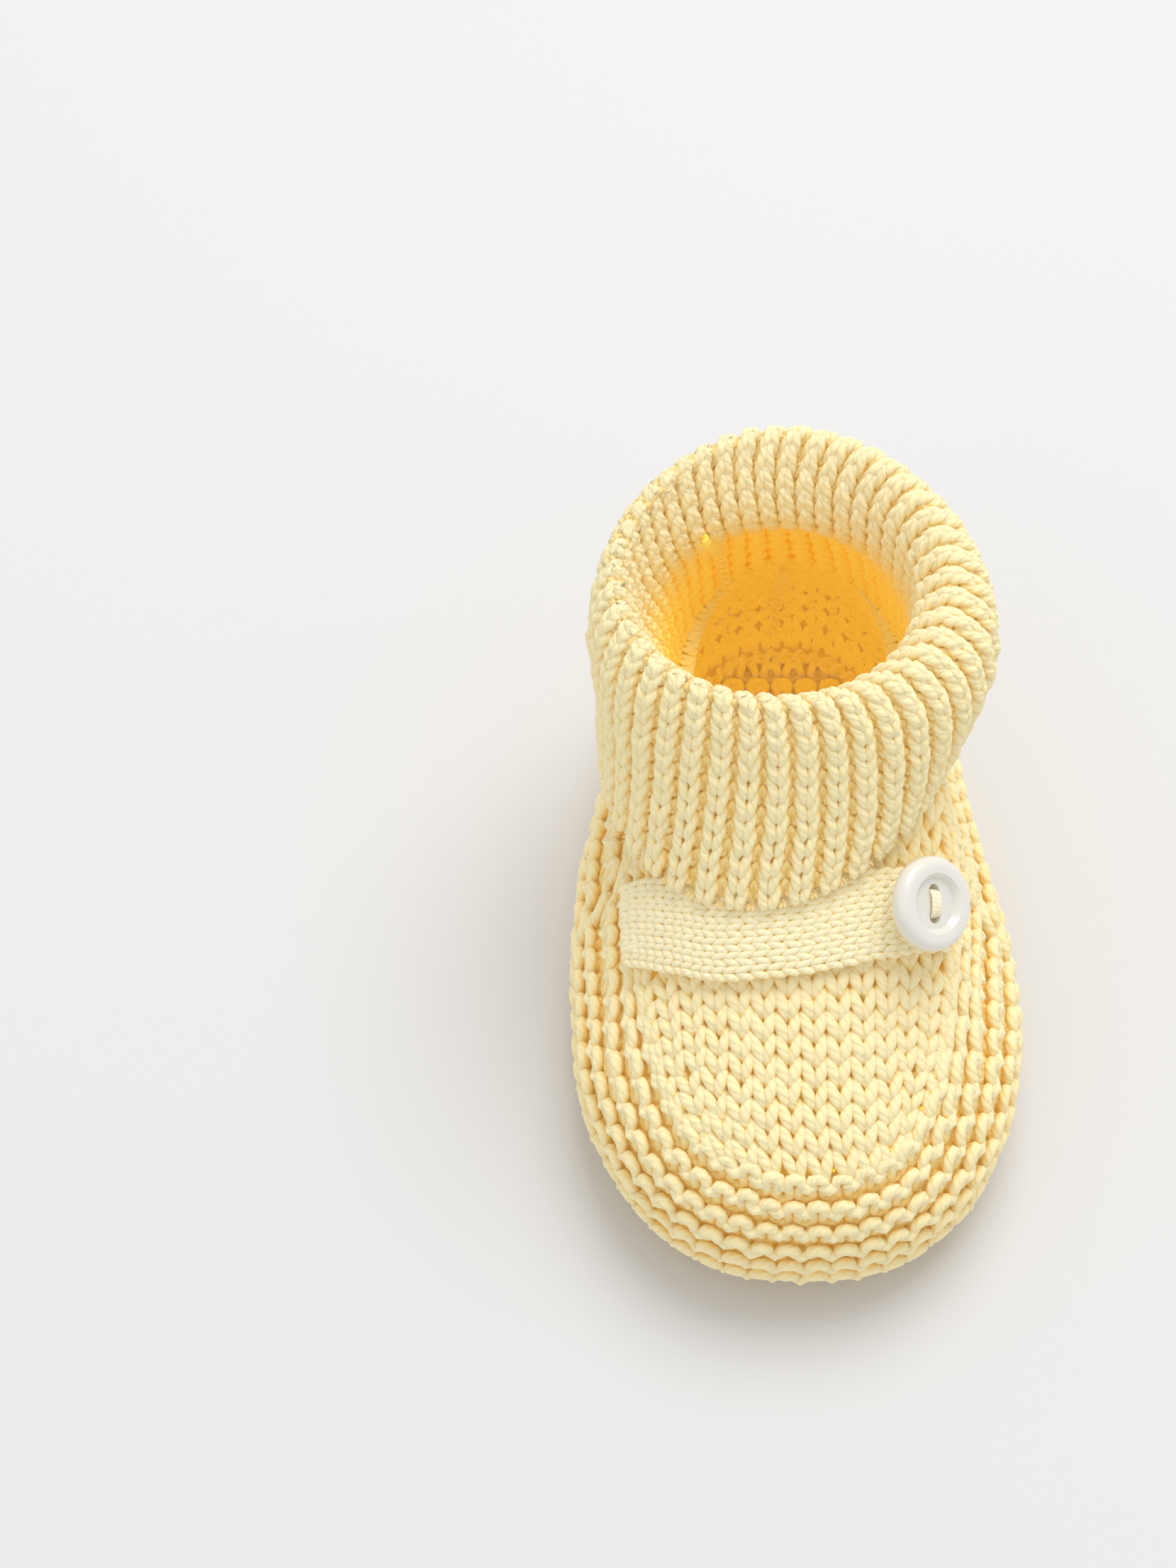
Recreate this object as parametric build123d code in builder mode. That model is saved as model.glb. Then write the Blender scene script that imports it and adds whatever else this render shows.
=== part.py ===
"""Knitted baby bootie with a turned-down rib cuff, a strap and a two-hole button.

Millimetres.  +Z is up, the toe points to -Y and the origin is at the middle of the box's bottom.
"""
import os
from math import cos, pi, sin

from build123d import *

os.makedirs("parts", exist_ok=True)

# ---------------------------------------------------------------- driving dimensions
FOOT_LENGTH = 100.0
FOOT_HALF_WIDTH = 28.4
WALL_THICKNESS = 2.2        # knitted fabric, measured level
TOP_THICKNESS = 1.6         # knitted fabric, measured upright
SOLE_THICKNESS = 2.4
LEG_THICKNESS = 1.8
FLAP_THICKNESS = 2.6
SEAM_RADIUS = 0.9

# Outline at the widest level, toe first and then round by the outer side.
OUTLINE = [
    (0, -50), (11, -48.4), (20, -42), (26.2, -31), (28.4, -16), (26, 2), (22.6, 19), (18.2, 36), (10.5, 47),
    (0, 50), (-10.5, 47), (-19, 36), (-24.6, 19), (-28, 2), (-28.4, -16), (-26, -31), (-19.5, -42),
    (-10.6, -48.4),
]

# The foot at each level: height, toe end, heel end, half width.
FOOT_LEVELS = [
    (0.0, -44.0, 44.5, 22.5),
    (3.0, -48.0, 48.0, 26.3),
    (10.5, -50.0, 50.0, 28.4),
    (18.0, -47.8, 48.5, 26.6),
    (24.0, -42.3, 46.0, 22.8),
    (30.0, -30.5, 44.0, 20.0),
    (36.0, -18.5, 41.5, 17.8),
    (41.0, -8.0, 39.5, 16.6),
    (43.0, -4.5, 38.7, 16.3),
]

# Edge of the knitted top panel, seen from above, from the inner ankle round the toe.
VAMP_EDGE = [
    (-20.6, 0), (-20.4, -19), (-18.2, -30), (-14.8, -37.6), (-8, -42.4), (1.5, -43.6), (10.4, -41.8),
    (14.4, -37), (17.2, -29), (18.8, -19), (19.2, 0),
]

PANEL_BOTTOM = 12.0         # the top panel's edge is cut between these heights
PANEL_RISE = 48.0

ANKLE_PLANE = Plane(origin=(0, 16.5, 36.1), x_dir=(1, 0, 0), z_dir=(0, 0.2, 1))
ROLL_BASE = 55.5            # where the leg meets the soft roll of the turned-down cuff

# Rings of the leg and cuff: centre, half width, half depth, slope along Y, slope along X, egg, skew.
LEG_RINGS = [
    ((-0.5, 16.5, 36.1), 14.6, 23.0, -0.20, 0.0, 0.0, 0.0),
    ((-2.0, 18.5, 46.0), 15.5, 17.0, -0.05, 0.0, 0.0, 0.0),
    ((-3.2, 17.5, 52.0), 16.4, 13.0, 0.0, 0.0, 0.0, 0.0),
    ((-3.3, 18.0, ROLL_BASE), 16.6, 14.2, 0.0, 0.0, 0.0, 0.0),
]
MOUTH_RINGS = [
    LEG_RINGS[-1],
    ((-3.9, 18.6, 58.5), 17.2, 15.6, 0.03, 0.0, 0.05, 0.0),
    ((-2.8, 19.4, 62.0), 19.4, 18.2, 0.03, 0.0, 0.12, 0.0),
]
FLAP_RINGS = [
    ((-2.0, 15.0, 40.5), 22.4, 30.2, -0.06, 0.13, 0.04, 0.14),
    ((-1.6, 16.3, 48.0), 23.6, 26.6, 0.0, 0.03, 0.08, 0.06),
    ((-1.6, 17.6, ROLL_BASE), 24.3, 23.0, 0.0, 0.0, 0.14, 0.0),
]
CREST_RINGS = [
    FLAP_RINGS[-1],
    ((-2.2, 19.0, 60.0), 23.0, 21.4, 0.03, 0.0, 0.13, 0.0),
    ((-2.8, 19.4, 62.0), 21.0, 19.8, 0.03, 0.0, 0.12, 0.0),
]

# Seams inside the heel and the leg.
HEEL_SEAM_PATH = [(-1, 45.6, 5), (-1, 46.5, 12), (-1, 43.8, 20), (-1, 40.9, 28)]
LEG_SEAM_TURN = pi + 0.6
VAMP_SEAM_RADIUS = 0.8
VAMP_SEAM_PATH = [
    (-16.9, -11.7, 26.4), (-17.2, -19.2, 24.1), (-15.6, -28.7, 22.0), (-12.7, -35.3, 20.5),
    (-7.1, -39.5, 20.4), (1.4, -40.6, 20.3), (9.0, -39.0, 20.2), (12.5, -34.8, 21.2),
    (14.8, -27.7, 23.2), (15.9, -19.0, 25.7), (15.6, -11.3, 28.8),
]

# Strap over the instep, seen from above: lower edge, then back along the upper edge.
STRAP_LOWER = [(-20.6, -16.6), (-16, -19.6), (-9.9, -21.9), (-0.8, -21.7), (8.4, -19.8), (15.4, -17.4)]
STRAP_UPPER = [(17.6, -8.4), (9, -9.9), (0, -11.4), (-9, -11.4), (-15.5, -9.4), (-20.6, -6.4)]
STRAP_CLEARANCE = 0.3
STRAP_THICKNESS = 1.5

# Button: its frame has Z along the stalk and X along the line through the two holes.
BUTTON_CENTRE = (14.8, -15.5, 40.7)
BUTTON_NORMAL = (0.60, -0.36, 0.71)
BUTTON_HOLE_LINE = (-0.03, 0.885, 0.47)
BUTTON_RADIUS = 5.75
BUTTON_THICKNESS = 2.8
DISH_RADIUS = 3.7
DISH_DEPTH = 0.8
DISH_TAPER = 40
BUTTON_EDGE_RADIUS = 1.25
HOLE_RADIUS = 0.85
HOLE_OFFSET = 1.55
THREAD_RADIUS = 0.55
STALK_GAP = 1.9             # from the strap to the back of the button
STALK_TOP_GAP = 0.5
SHANK_RADIUS = 1.3
SHANK_HEIGHT = 0.8
ANCHOR_HEIGHT = 0.35

# Stitches over the strap's fixed end, on a plane that leans like the wall there.
STITCH_PLANE = Plane(origin=(-21.1, -11.4, 29.0), x_dir=(0.5, 0, 0.86), z_dir=(-0.86, -0.1, 0.5))
STITCH_PITCH = 2.1
STITCH_COUNT = 5
STITCH_LENGTH = 3.2
STITCH_WIDTH = 0.9
STITCH_THICKNESS = 1.3


# ---------------------------------------------------------------- shapes used more than once
def foot_outline(level, inset):
    """Points of the foot's outline at one level, drawn in by inset."""
    _, toe, heel, half_width = level
    across = (half_width - inset) / FOOT_HALF_WIDTH
    along = (heel - toe - 2 * inset) / FOOT_LENGTH
    return [(x * across, y * along + (toe + heel) / 2) for x, y in OUTLINE]


def foot_solid(inset, drop):
    """The whole foot up to the leg, drawn in by inset and lowered by drop."""
    with BuildPart() as foot:
        for level in FOOT_LEVELS:
            with BuildSketch(Plane.XY.offset(level[0] - drop)):
                with BuildLine():
                    Spline(*foot_outline(level, inset), periodic=True)
                make_face()
        loft()
    return foot.part


def ring_solid(rings, grow=0.0):
    """A closed tube of soft rings, each in its own tilted plane."""
    with BuildPart() as tube:
        for centre, half_width, half_depth, slope_y, slope_x, egg, skew in rings:
            points = []
            for step in range(12):
                turn = step * pi / 6
                x = (half_width + grow) * sin(turn) * (1 + egg * cos(turn))
                points.append((x, -(half_depth + grow) * cos(turn) + skew * x))
            with BuildSketch(Plane(origin=centre, x_dir=(1, 0, slope_x), z_dir=(-slope_x, -slope_y, 1))):
                with BuildLine():
                    Spline(*points, periodic=True)
                make_face()
        loft()
    return tube.part


def ring_point(ring, turn, grow):
    """A point on one ring, at an angle measured from the toe side."""
    centre, half_width, half_depth, slope_y, slope_x, egg, skew = ring
    x = (half_width + grow) * sin(turn) * (1 + egg * cos(turn))
    y = -(half_depth + grow) * cos(turn) + skew * x
    return (centre[0] + x, centre[1] + y, centre[2] + slope_y * y + slope_x * x)


def ridge(path_points, radius, periodic=False):
    """A round ridge of stitches along a smooth line."""
    with BuildPart() as bead:
        with BuildLine() as path:
            Spline(*path_points, periodic=periodic)
        with BuildSketch(Plane(origin=path.line @ 0, z_dir=path.line % 0)):
            Circle(radius)
        sweep()
    return bead.part


def save(piece, name):
    piece.label = name
    export_step(piece, f"parts/{name}.step")


# ---------------------------------------------------------------- foot: sole, wall and top panel
foot_outer = foot_solid(0, 0)
foot_inner = foot_solid(WALL_THICKNESS, TOP_THICKNESS)

with BuildPart() as sole_panel:
    with BuildSketch():
        with BuildLine():
            Spline(*foot_outline(FOOT_LEVELS[0], 0), periodic=True)
        make_face()
    extrude(amount=SOLE_THICKNESS)
save(sole_panel.part, "sole_panel")

with BuildPart() as foot_room:
    add(foot_inner)
    split(bisect_by=Plane.XY.offset(SOLE_THICKNESS), keep=Keep.TOP)

with BuildPart() as foot_shell:
    add(foot_outer)
    add(foot_room.part, mode=Mode.SUBTRACT)
    split(bisect_by=ANKLE_PLANE, keep=Keep.BOTTOM)

with BuildSketch(Plane.XY.offset(PANEL_BOTTOM)) as vamp_plan:
    with BuildLine():
        Spline(*VAMP_EDGE)
        Line(VAMP_EDGE[-1], VAMP_EDGE[0])
    make_face()

with BuildPart() as vamp_prism:
    add(vamp_plan.sketch)
    extrude(amount=PANEL_RISE)

with BuildPart() as side_wall:
    add(foot_shell.part)
    add(sole_panel.part, mode=Mode.SUBTRACT)
    add(vamp_prism.part, mode=Mode.SUBTRACT)
save(side_wall.part, "side_wall")

with BuildPart() as vamp:
    add(foot_shell.part)
    add(vamp_prism.part, mode=Mode.INTERSECT)
save(vamp.part, "vamp")

# ---------------------------------------------------------------- foot: seams inside
sole_seam = ridge(
    [(x, y, SOLE_THICKNESS + SEAM_RADIUS) for x, y in foot_outline(FOOT_LEVELS[0], SEAM_RADIUS + 0.4)],
    SEAM_RADIUS,
    periodic=True,
)
save(sole_seam, "sole_seam")

with BuildPart() as heel_seam:
    add(ridge(HEEL_SEAM_PATH, SEAM_RADIUS))
    add(side_wall.part, mode=Mode.SUBTRACT)
save(heel_seam.part, "heel_seam")

save(ridge(VAMP_SEAM_PATH, VAMP_SEAM_RADIUS), "vamp_seam")

# ---------------------------------------------------------------- leg and turned-down cuff
with BuildPart() as leg_tube:
    add(ring_solid(LEG_RINGS, LEG_THICKNESS))
    add(ring_solid(LEG_RINGS), mode=Mode.SUBTRACT)
save(leg_tube.part, "leg_tube")

with BuildPart() as leg_seam:
    add(ridge([ring_point(ring, LEG_SEAM_TURN, -SEAM_RADIUS) for ring in LEG_RINGS], SEAM_RADIUS))
    add(leg_tube.part, mode=Mode.SUBTRACT)
    split(bisect_by=ANKLE_PLANE.offset(1), keep=Keep.TOP)
    split(bisect_by=Plane.XY.offset(ROLL_BASE), keep=Keep.BOTTOM)
save(leg_seam.part, "leg_seam")

with BuildPart() as cuff:
    add(ring_solid(FLAP_RINGS))
    add(ring_solid(FLAP_RINGS, -FLAP_THICKNESS), mode=Mode.SUBTRACT)
    add(ring_solid(CREST_RINGS))
    add(ring_solid(MOUTH_RINGS), mode=Mode.SUBTRACT)
save(cuff.part, "cuff")

# ---------------------------------------------------------------- strap over the instep
strap_inner = foot_solid(-STRAP_CLEARANCE, -0.7 * STRAP_CLEARANCE)
strap_top = STRAP_CLEARANCE + STRAP_THICKNESS
strap_outer = foot_solid(-strap_top, -0.7 * strap_top)

with BuildPart() as strap:
    with BuildSketch(Plane.XY.offset(PANEL_BOTTOM)):
        with BuildLine():
            Spline(*STRAP_LOWER)
            Spline(*STRAP_UPPER)
            Line(STRAP_LOWER[-1], STRAP_UPPER[0])
            Line(STRAP_UPPER[-1], STRAP_LOWER[0])
        make_face()
    extrude(amount=PANEL_RISE)
    add(strap_outer, mode=Mode.INTERSECT)
    add(strap_inner, mode=Mode.SUBTRACT)
save(strap.part, "strap")

# Overcast stitches that hold the strap's fixed end: each crosses from the strap to the wall.
with BuildPart() as strap_base_stitches:
    with BuildSketch(STITCH_PLANE):
        with GridLocations(0, STITCH_PITCH, 1, STITCH_COUNT):
            SlotOverall(STITCH_LENGTH, STITCH_WIDTH)
    extrude(amount=STITCH_THICKNESS / 2, both=True)
save(strap_base_stitches.part, "strap_base_stitches")

# ---------------------------------------------------------------- button on its thread stalk
button_plane = Plane(origin=BUTTON_CENTRE, x_dir=BUTTON_HOLE_LINE, z_dir=BUTTON_NORMAL)
section_plane = Plane(origin=BUTTON_CENTRE, x_dir=button_plane.x_dir, z_dir=-button_plane.y_dir)
half = BUTTON_THICKNESS / 2

with BuildPart() as button:
    with BuildSketch(button_plane.offset(-half)):
        Circle(BUTTON_RADIUS)
    extrude(amount=BUTTON_THICKNESS)
    fillet(button.edges(), radius=BUTTON_EDGE_RADIUS)
    with BuildSketch(button_plane.offset(half)):
        Circle(DISH_RADIUS)
    extrude(amount=-DISH_DEPTH, taper=DISH_TAPER, mode=Mode.SUBTRACT)
    with BuildSketch(button_plane.offset(-BUTTON_THICKNESS)):
        with Locations((HOLE_OFFSET, 0), (-HOLE_OFFSET, 0)):
            Circle(HOLE_RADIUS)
    extrude(amount=2 * BUTTON_THICKNESS, mode=Mode.SUBTRACT)
save(button.part, "button")

with BuildPart() as button_thread:
    with BuildLine(section_plane):
        Line((-HOLE_OFFSET, -half - 0.2), (-HOLE_OFFSET, 0))
        ThreePointArc((-HOLE_OFFSET, 0), (0, HOLE_OFFSET), (HOLE_OFFSET, 0))
        Line((HOLE_OFFSET, 0), (HOLE_OFFSET, -half - 0.2))
    with BuildSketch(button_plane.offset(-half - 0.2)):
        with Locations((-HOLE_OFFSET, 0)):
            Circle(THREAD_RADIUS)
    sweep()
save(button_thread.part, "button_thread")

with BuildPart() as button_shank:
    with BuildSketch(button_plane.offset(-half - STALK_TOP_GAP - SHANK_HEIGHT)):
        Circle(SHANK_RADIUS)
    extrude(amount=SHANK_HEIGHT)
save(button_shank.part, "button_shank")

with BuildPart() as button_anchor_stitches:
    with BuildSketch(button_plane.offset(-half - STALK_GAP - 1)):
        SlotOverall(2 * SHANK_RADIUS + 1.4, 2 * SHANK_RADIUS)
    extrude(amount=1 + ANCHOR_HEIGHT)
    add(strap.part, mode=Mode.SUBTRACT)
    add(strap_inner, mode=Mode.SUBTRACT)
save(button_anchor_stitches.part, "button_anchor_stitches")
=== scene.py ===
"""A knitted baby bootie, stitch by stitch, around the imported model.  Shape values are millimetres."""
from math import cos, pi, radians, sin

import bpy
import numpy as np
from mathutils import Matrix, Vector


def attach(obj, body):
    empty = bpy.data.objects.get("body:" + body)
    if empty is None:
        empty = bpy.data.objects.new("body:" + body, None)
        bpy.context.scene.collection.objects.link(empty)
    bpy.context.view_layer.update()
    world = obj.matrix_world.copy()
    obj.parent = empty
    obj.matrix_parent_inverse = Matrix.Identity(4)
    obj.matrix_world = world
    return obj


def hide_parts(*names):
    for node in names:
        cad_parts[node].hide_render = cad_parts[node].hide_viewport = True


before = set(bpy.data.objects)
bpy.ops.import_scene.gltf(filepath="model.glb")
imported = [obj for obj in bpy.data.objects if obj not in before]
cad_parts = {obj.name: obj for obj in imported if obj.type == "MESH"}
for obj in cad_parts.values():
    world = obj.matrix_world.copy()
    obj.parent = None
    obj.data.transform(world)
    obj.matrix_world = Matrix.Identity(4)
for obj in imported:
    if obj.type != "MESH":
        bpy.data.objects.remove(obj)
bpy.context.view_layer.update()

MM = 0.001
TURN = 2 * pi
RANDOM = np.random.default_rng(7)

# ---------------------------------------------------------------- the foot's shape
FOOT_LENGTH = 100.0
FOOT_HALF_WIDTH = 28.4
WIDEST_HEIGHT = 10.5
TOP_HEIGHT = 43.0
OUTLINE = np.array([
    (0, -50), (11, -48.4), (20, -42), (26.2, -31), (28.4, -16), (26, 2), (22.6, 19), (18.2, 36), (10.5, 47),
    (0, 50), (-10.5, 47), (-19, 36), (-24.6, 19), (-28, 2), (-28.4, -16), (-26, -31), (-19.5, -42),
    (-10.6, -48.4),
])
# height, toe end, heel end, half width
FOOT_LEVELS = np.array([
    (0.0, -44.0, 44.5, 22.5), (3.0, -48.0, 48.0, 26.3), (WIDEST_HEIGHT, -50.0, 50.0, FOOT_HALF_WIDTH),
    (18.0, -47.8, 48.5, 26.6), (24.0, -42.3, 46.0, 22.8), (30.0, -30.5, 44.0, 20.0),
    (36.0, -18.5, 41.5, 17.8), (41.0, -8.0, 39.5, 16.6), (TOP_HEIGHT, -4.5, 38.7, 16.3),
])
ANKLE_Y, ANKLE_Z, ANKLE_SLOPE = 16.5, 36.1, -0.2

# Edge of the top panel seen from above: distance along Y, then inner and outer side.
VAMP_Y = np.array([-43.6, -43.0, -41.8, -39.8, -37.2, -34.0, -30.0, -24.0, -19.0, 0.0])
VAMP_INNER = np.array([1.5, -5.5, -9.2, -12.4, -15.0, -16.9, -18.2, -19.7, -20.4, -20.6])
VAMP_OUTER = np.array([1.5, 7.5, 10.4, 12.8, 14.4, 15.9, 17.0, 18.2, 18.8, 19.2])

# Rings of the knitted leg from the cuff's free edge, over the fold and down inside to the ankle:
# centre, half width, half depth, slope along Y, slope along X, egg, skew.
LEG_RINGS = np.array([
    (-2.4, 14.5, 39.8, 22.8, 30.5, -0.03, 0.17, 0.04, 0.16),
    (-1.6, 16.3, 48.0, 23.8, 26.6, 0.0, 0.03, 0.08, 0.06),
    (-1.6, 17.6, 55.0, 24.5, 23.0, 0.0, 0.0, 0.14, 0.0),
    (-2.0, 18.8, 60.2, 23.0, 21.2, 0.03, 0.0, 0.13, 0.0),
    (-2.9, 19.2, 62.3, 20.2, 19.0, 0.03, 0.0, 0.12, 0.0),
    (-3.9, 18.6, 59.5, 17.6, 16.0, 0.03, 0.0, 0.06, 0.0),
    (-3.4, 17.6, 54.0, 16.5, 13.3, 0.0, 0.0, 0.0, 0.0),
    (-2.0, 18.5, 46.0, 15.3, 17.0, -0.05, 0.0, 0.0, 0.0),
    (-0.5, 16.5, 35.5, 14.6, 23.0, -0.2, 0.0, 0.0, 0.0),
])


def smooth(xs, ys, x):
    """A smooth curve through the points (xs, ys), read at x; ys may have several columns."""
    xs, ys, x = np.asarray(xs, float), np.asarray(ys, float), np.asarray(x, float)
    i = np.clip(np.searchsorted(xs, x) - 1, 0, len(xs) - 2)
    slope = np.gradient(ys, xs, axis=0)
    h = xs[i + 1] - xs[i]
    t = (x - xs[i]) / h
    if ys.ndim > 1:
        h, t = h[..., None], t[..., None]
    return (
        (2 * t**3 - 3 * t**2 + 1) * ys[i] + (t**3 - 2 * t**2 + t) * h * slope[i]
        + (3 * t**2 - 2 * t**3) * ys[i + 1] + (t**3 - t**2) * h * slope[i + 1]
    )


OUTLINE_TURN = np.arctan2(OUTLINE[:, 0], -OUTLINE[:, 1])
ORDER = np.argsort(OUTLINE_TURN)
OUTLINE_TURN = np.concatenate([OUTLINE_TURN[ORDER] + k * TURN for k in (-1, 0, 1)])
OUTLINE_REACH = np.tile(np.hypot(OUTLINE[:, 0], OUTLINE[:, 1])[ORDER], 3)


def reach(turn):
    """Distance from the middle to the widest outline, at an angle measured from the toe."""
    return smooth(OUTLINE_TURN, OUTLINE_REACH, (np.asarray(turn) + pi) % TURN - pi)


def foot_point(turn, z):
    """A point on the outside of the foot at an angle and a height."""
    toe, heel, half_width = (smooth(FOOT_LEVELS[:, 0], FOOT_LEVELS[:, k], z) for k in (1, 2, 3))
    r = reach(turn)
    x = r * np.sin(turn) * half_width / FOOT_HALF_WIDTH
    y = -r * np.cos(turn) * (heel - toe) / FOOT_LENGTH + (toe + heel) / 2
    return np.stack([x, y, z + 0 * x], -1)


HALVINGS = 24


def foot_height(x, y):
    """Height of the upper side of the foot over a point seen from above."""
    low, high = np.full(np.shape(x), WIDEST_HEIGHT), np.full(np.shape(x), TOP_HEIGHT)
    for _ in range(HALVINGS):
        z = (low + high) / 2
        toe, heel, half_width = (smooth(FOOT_LEVELS[:, 0], FOOT_LEVELS[:, k], z) for k in (1, 2, 3))
        u = x * FOOT_HALF_WIDTH / half_width
        v = (y - (toe + heel) / 2) / (heel - toe) * FOOT_LENGTH
        inside = np.hypot(u, v) < reach(np.arctan2(u, -v))
        low, high = np.where(inside, z, low), np.where(inside, high, z)
    return low


# ---------------------------------------------------------------- yarn
POINTS_PER_STITCH = 12
YARN_SIDES = 8
END_TAPER = 0.45            # how slim a strand is at its two ends
THICKNESS = 2.56            # of a knitted panel
INSIDE_FROM = 1.5           # depth at which a panel starts to face into the shoe
INSIDE_BLEND = 0.7
SHEET_SHADE_DEPTH = 1.6           # how deep the matted fibres between the stitches count for their painted shade
# a little painted bounce light on the matted fibres
SHEET_BOUNCE_LIGHT = 0.12
TINY = 1e-9


def facing_in(verts, depth):
    """How far a point faces into the shoe, by its depth below the panel's outside; this sets its painted
    bounce light.
    """
    return np.clip((depth - INSIDE_FROM) / INSIDE_BLEND, 0, 1)


def facing_out(verts, depth):
    return np.zeros(len(verts))


def walked(points):
    """Distance from the start at each point of a line."""
    return np.concatenate([[0], np.cumsum(np.linalg.norm(np.diff(points, axis=0), axis=1))])


def tube_rings(yarn, radius, closed, sides):
    """The points of the tube round one strand, and how high each lies on the fabric."""
    points, normals, level, girth = yarn
    if closed:
        tangent = np.roll(points, -1, 0) - np.roll(points, 1, 0)
    else:
        tangent = np.gradient(points, axis=0)
    tangent /= np.linalg.norm(tangent, axis=1)[:, None]
    side = np.cross(tangent, normals)
    side /= np.linalg.norm(side, axis=1)[:, None] + TINY
    up = np.cross(side, tangent)
    r = radius * girth
    if not closed:
        r[[0, -1]] *= END_TAPER
    phi = np.arange(sides) / sides * TURN
    ring = r[:, None, None] * (
        np.cos(phi)[None, :, None] * up[:, None] + np.sin(phi)[None, :, None] * side[:, None])
    raised = level[:, None] + (ring * normals[:, None]).sum(-1)
    return (points[:, None] + ring).reshape(-1, 3), raised.ravel()


def tube_faces(points, closed, sides):
    """The tube's quads, and for each of their corners its place along and around the yarn."""
    n = len(points)
    i = np.arange(n if closed else n - 1)
    i2 = (i + 1) % n
    j = np.arange(sides)
    j2 = (j + 1) % sides
    row, row2 = i[:, None] * sides, i2[:, None] * sides
    quads = np.stack([row + j, row + j2, row2 + j2, row2 + j], -1)
    at = walked(points)
    after = np.append(at[1:], at[-1] + np.linalg.norm(points[0] - points[-1]))
    along = np.stack([at[i], at[i], after[i], after[i]], -1)[:, None, :] + 0 * j[None, :, None]
    around = np.stack([j, j + 1, j + 1, j], -1)[None] / sides + 0 * along
    return quads.reshape(-1, 4), np.stack([along.ravel(), around.ravel()], -1)


def grid_faces(rows, cols, wraps):
    """Quads of a sheet, which may close on itself in its first direction."""
    i = np.arange(rows if wraps else rows - 1)[:, None]
    j = np.arange(cols - 1)[None]
    i2 = (i + 1) % rows
    return np.stack([i * cols + j, i2 * cols + j, i2 * cols + j + 1, i * cols + j + 1], -1).reshape(-1, 4)


def quad_object(name, verts, faces, uv, marks):
    """A smooth object of quads; marks are its point attributes."""
    mesh = bpy.data.meshes.new(name)
    mesh.vertices.add(len(verts))
    mesh.vertices.foreach_set("co", (verts * MM).ravel())
    mesh.loops.add(faces.size)
    mesh.loops.foreach_set("vertex_index", faces.ravel())
    mesh.polygons.add(len(faces))
    mesh.polygons.foreach_set("loop_start", np.arange(0, faces.size, 4))
    mesh.polygons.foreach_set("use_smooth", np.ones(len(faces), bool))
    uv_layer = mesh.uv_layers.new(name="yarn")
    uv_layer.data.foreach_set("uv", uv.ravel())
    for mark, values in marks.items():
        attribute = mesh.attributes.new(mark, "FLOAT", "POINT")
        attribute.data.foreach_set("value", values)
    mesh.update()
    mesh.validate()
    piece = bpy.data.objects.new(name, mesh)
    bpy.context.scene.collection.objects.link(piece)
    return piece


def tube_mesh(name, strands, radius, closed=False, skin=0.0, outward=1, inner=facing_in, sheets=(),
              sides=YARN_SIDES):
    """One mesh of yarn tubes.  inner(verts, depth) marks what faces into the shoe, which gets painted
    bounce light.

    strands is a list of (points, normals, levels, girths); a level is the yarn's height on the fabric, and
    the depth below the panel's outside sets the painted shade between the stitches.
    skin is the level of the panel's outside, and outward is -1 where that side has the lower levels.
    sheets is a list of (grid of points, wraps) for the matted fibres behind the yarn, which get painted
    shade.
    """
    verts, faces, uvs, depths, inside_light_marks = [], [], [], [], []
    base = 0
    for yarn in strands:
        rings, raised = tube_rings(yarn, radius, closed, sides)
        quads, uv = tube_faces(yarn[0], closed, sides)
        depth = skin - outward * raised
        verts.append(rings)
        faces.append(base + quads)
        uvs.append(uv)
        # painted shade by depth below the panel's outside, and painted bounce light where the yarn faces
        # into the shoe
        depths.append(np.minimum(depth, THICKNESS - depth))
        inside_light_marks.append(inner(rings, depth))
        base += len(rings)
    for grid, wraps in sheets:
        rows, cols = grid.shape[:2]
        quads = grid_faces(rows, cols, wraps)
        verts.append(grid.reshape(-1, 3))
        faces.append(base + quads)
        uvs.append(np.zeros((quads.size, 2)))
        # the matted fibres get painted shade, as if deep between the stitches, and a little painted bounce
        # light
        depths.append(np.full(rows * cols, SHEET_SHADE_DEPTH))
        inside_light_marks.append(np.full(rows * cols, SHEET_BOUNCE_LIGHT))
        base += rows * cols
    marks = {"depth": np.concatenate(depths), "inner": np.concatenate(inside_light_marks)}
    return quad_object(name, np.concatenate(verts), np.concatenate(faces), np.concatenate(uvs), marks)


def on_fabric(place, x, y, z):
    """Points of the yarn at wale x and course y, raised z off the fabric's middle, with normals."""
    e = 0.02
    middle = place(x, y)
    across = place(x + e, y) - place(x - e, y)
    up = place(x, y + e) - place(x, y - e)
    normal = np.cross(across, up)
    normal /= np.linalg.norm(normal, axis=-1)[..., None] + TINY
    return middle + normal * z[..., None], normal


DRIFT_X, DRIFT_Y, DRIFT_Z, DRIFT_GIRTH = 0.045, 0.055, 0.07, 0.05      # unevenness of a hand-knitted stitch


def wander(count, size, points):
    """Slow random drift along a course, one knot per stitch."""
    knots = RANDOM.normal(0, size, count + 1)
    knots[-1] = knots[0]
    return np.interp(np.arange(count * points) / points, np.arange(count + 1), knots)


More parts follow.
